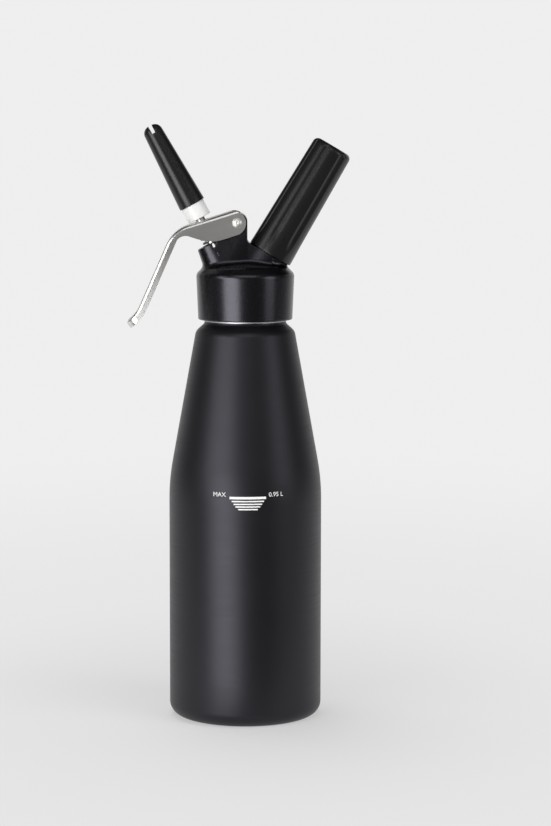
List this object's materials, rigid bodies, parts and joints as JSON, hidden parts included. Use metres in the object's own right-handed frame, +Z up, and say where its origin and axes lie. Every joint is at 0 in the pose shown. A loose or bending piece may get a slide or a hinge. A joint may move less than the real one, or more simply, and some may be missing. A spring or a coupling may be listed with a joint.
{
  "type": "cream whipper",
  "caption": "Bottle-shaped cream whipper with a squeeze lever, a slotted decorating nozzle and a screw-on gas charger holder on its head.",
  "frame": {"origin": "centre of the bottle's base, on the surface that it stands on", "axes": "+Z up along the bottle's axis, +X towards the charger holder, -X towards the nozzle and the lever's handle, front is -Y"},
  "size_m": [0.1386, 0.0956, 0.3718],
  "materials": {
    "bottle": "satin black coating, faintly brushed round",
    "head": "smooth black coating on a die casting",
    "lever": "brushed along its length",
    "bright_steel": "turned and polished",
    "spring_steel": "drawn wire",
    "charger_steel": "drawn, bright",
    "carrier_brass": "turned",
    "black_plastic": "moulded, satin",
    "white_plastic": "moulded, smooth",
    "pale_rubber": "moulded",
    "black_rubber": "moulded"
  },
  "bodies": {
    "bottle": {"bottle": "bottle"},
    "head_gasket": {"head_gasket": "pale_rubber"},
    "head": {"head": "head", "pin_carrier": "carrier_brass", "piercing_pin": "bright_steel", "carrier_seal": "black_rubber", "check_valve": "pale_rubber", "charger_gasket": "black_rubber", "return_spring": "spring_steel", "spring_liner": "white_plastic"},
    "lever": {"lever": "lever", "lever_pin": "bright_steel"},
    "valve": {"valve_stem": "bright_steel", "valve_seal": "pale_rubber", "stem_o_ring": "black_rubber", "thrust_washer": "bright_steel", "tip_adaptor": "white_plastic", "adaptor_seal": "pale_rubber"},
    "nozzle_seal": {"nozzle_seal": "pale_rubber"},
    "nozzle": {"nozzle": "black_plastic"},
    "gas_charger": {"gas_charger": "charger_steel"},
    "charger_holder": {"charger_holder": "black_plastic"}
  },
  "joints": [
    {"name": "head_lift", "type": "slide", "parent": "bottle", "child": "head_gasket", "axis": [0, 0, 1], "range_m": [0, 0.0161]},
    {"name": "head_turn", "type": "hinge", "parent": "head_gasket", "child": "head", "pos_m": [0, 0, 0.26], "axis": [0, 0, 1], "range_deg": [0, 1440]},
    {"name": "lever_squeeze", "type": "hinge", "parent": "head", "child": "lever", "pos_m": [-0.005, 0, 0.31101], "axis": [0, -1, 0], "range_deg": [0, 10], "stiffness_Nm_per_rad": 0.7, "springref_deg": -17.19},
    {"name": "valve_push", "type": "slide", "parent": "head", "child": "valve", "axis": [0.4741, 0, -0.8805], "range_m": [0, 0.0024], "deforming": ["return_spring"]},
    {"name": "nozzle_lift", "type": "slide", "parent": "valve", "child": "nozzle_seal", "axis": [-0.4741, 0, 0.8805], "range_m": [0, 0.0101]},
    {"name": "nozzle_turn", "type": "hinge", "parent": "nozzle_seal", "child": "nozzle", "pos_m": [-0.0202, 0, 0.29821], "axis": [-0.4741, 0, 0.8805], "range_deg": [0, 1800]},
    {"name": "charger_draw", "type": "slide", "parent": "head", "child": "gas_charger", "axis": [0.5105, 0, 0.8599], "range_m": [0, 0.0121]},
    {"name": "charger_holder_turn", "type": "hinge", "parent": "gas_charger", "child": "charger_holder", "pos_m": [0.01545, 0, 0.29131], "axis": [0.5105, 0, 0.8599], "range_deg": [0, 2160]}
  ],
  "couplings": [
    {"joint": "head_lift", "follows": "head_turn", "m_per_rad": 0.00063662},
    {"joint": "valve_push", "follows": "lever_squeeze", "m_per_rad": 0.0136},
    {"joint": "nozzle_lift", "follows": "nozzle_turn", "m_per_rad": 0.00031831},
    {"joint": "charger_draw", "follows": "charger_holder_turn", "m_per_rad": 0.00031831}
  ]
}
